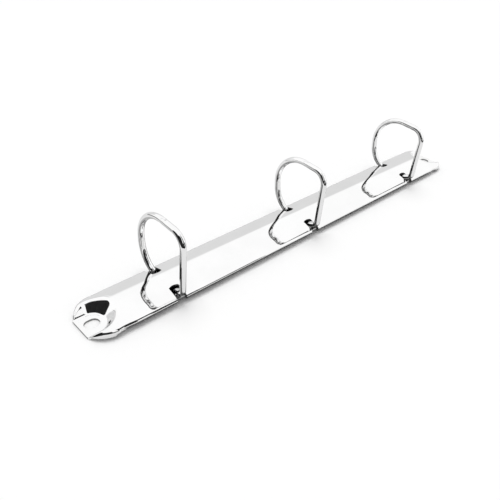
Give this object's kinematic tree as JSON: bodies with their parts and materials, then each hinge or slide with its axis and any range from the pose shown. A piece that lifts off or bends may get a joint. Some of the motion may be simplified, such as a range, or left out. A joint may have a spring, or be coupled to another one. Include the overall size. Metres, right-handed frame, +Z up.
{
  "type": "ring binder mechanism",
  "caption": "Long arched ring binder mechanism in bright nickel: slotted cover plate with riveting seats and split wire rings that open together on hinge blades.",
  "frame": {"origin": "midway between the two rivet slots, on the plane of the underside of the seats", "axes": "+X along the plate, +Y across it towards the round halves of the rings, +Z up through the rings"},
  "size_m": [0.208, 0.0272, 0.0308],
  "materials": {
    "nickel_sheet": "mirror-bright nickel plate on pressed steel",
    "nickel_blade": "plain nickel plate on rolled steel",
    "nickel_wire": "mirror-bright nickel plate on drawn wire"
  },
  "bodies": {
    "cover": {"cover_plate": "nickel_sheet"},
    "near_rail": {"near_hinge_plate": "nickel_blade", "near_ring_half_1": "nickel_wire", "near_ring_half_2": "nickel_wire", "near_ring_half_3": "nickel_wire"},
    "far_rail": {"far_hinge_plate": "nickel_blade", "far_ring_half_1": "nickel_wire", "far_ring_half_2": "nickel_wire", "far_ring_half_3": "nickel_wire"}
  },
  "joints": [
    {"name": "far_rail_pivot", "type": "hinge", "parent": "cover", "child": "far_rail", "pos_m": [0, 0.00915, 0.0023], "axis": [-1, 0, 0], "range_deg": [0, 18]},
    {"name": "near_rail_pivot", "type": "hinge", "parent": "cover", "child": "near_rail", "pos_m": [0, -0.00915, 0.0023], "axis": [1, 0, 0], "range_deg": [0, 18]}
  ],
  "couplings": [
    {"joint": "near_rail_pivot", "follows": "far_rail_pivot", "ratio": 1}
  ]
}
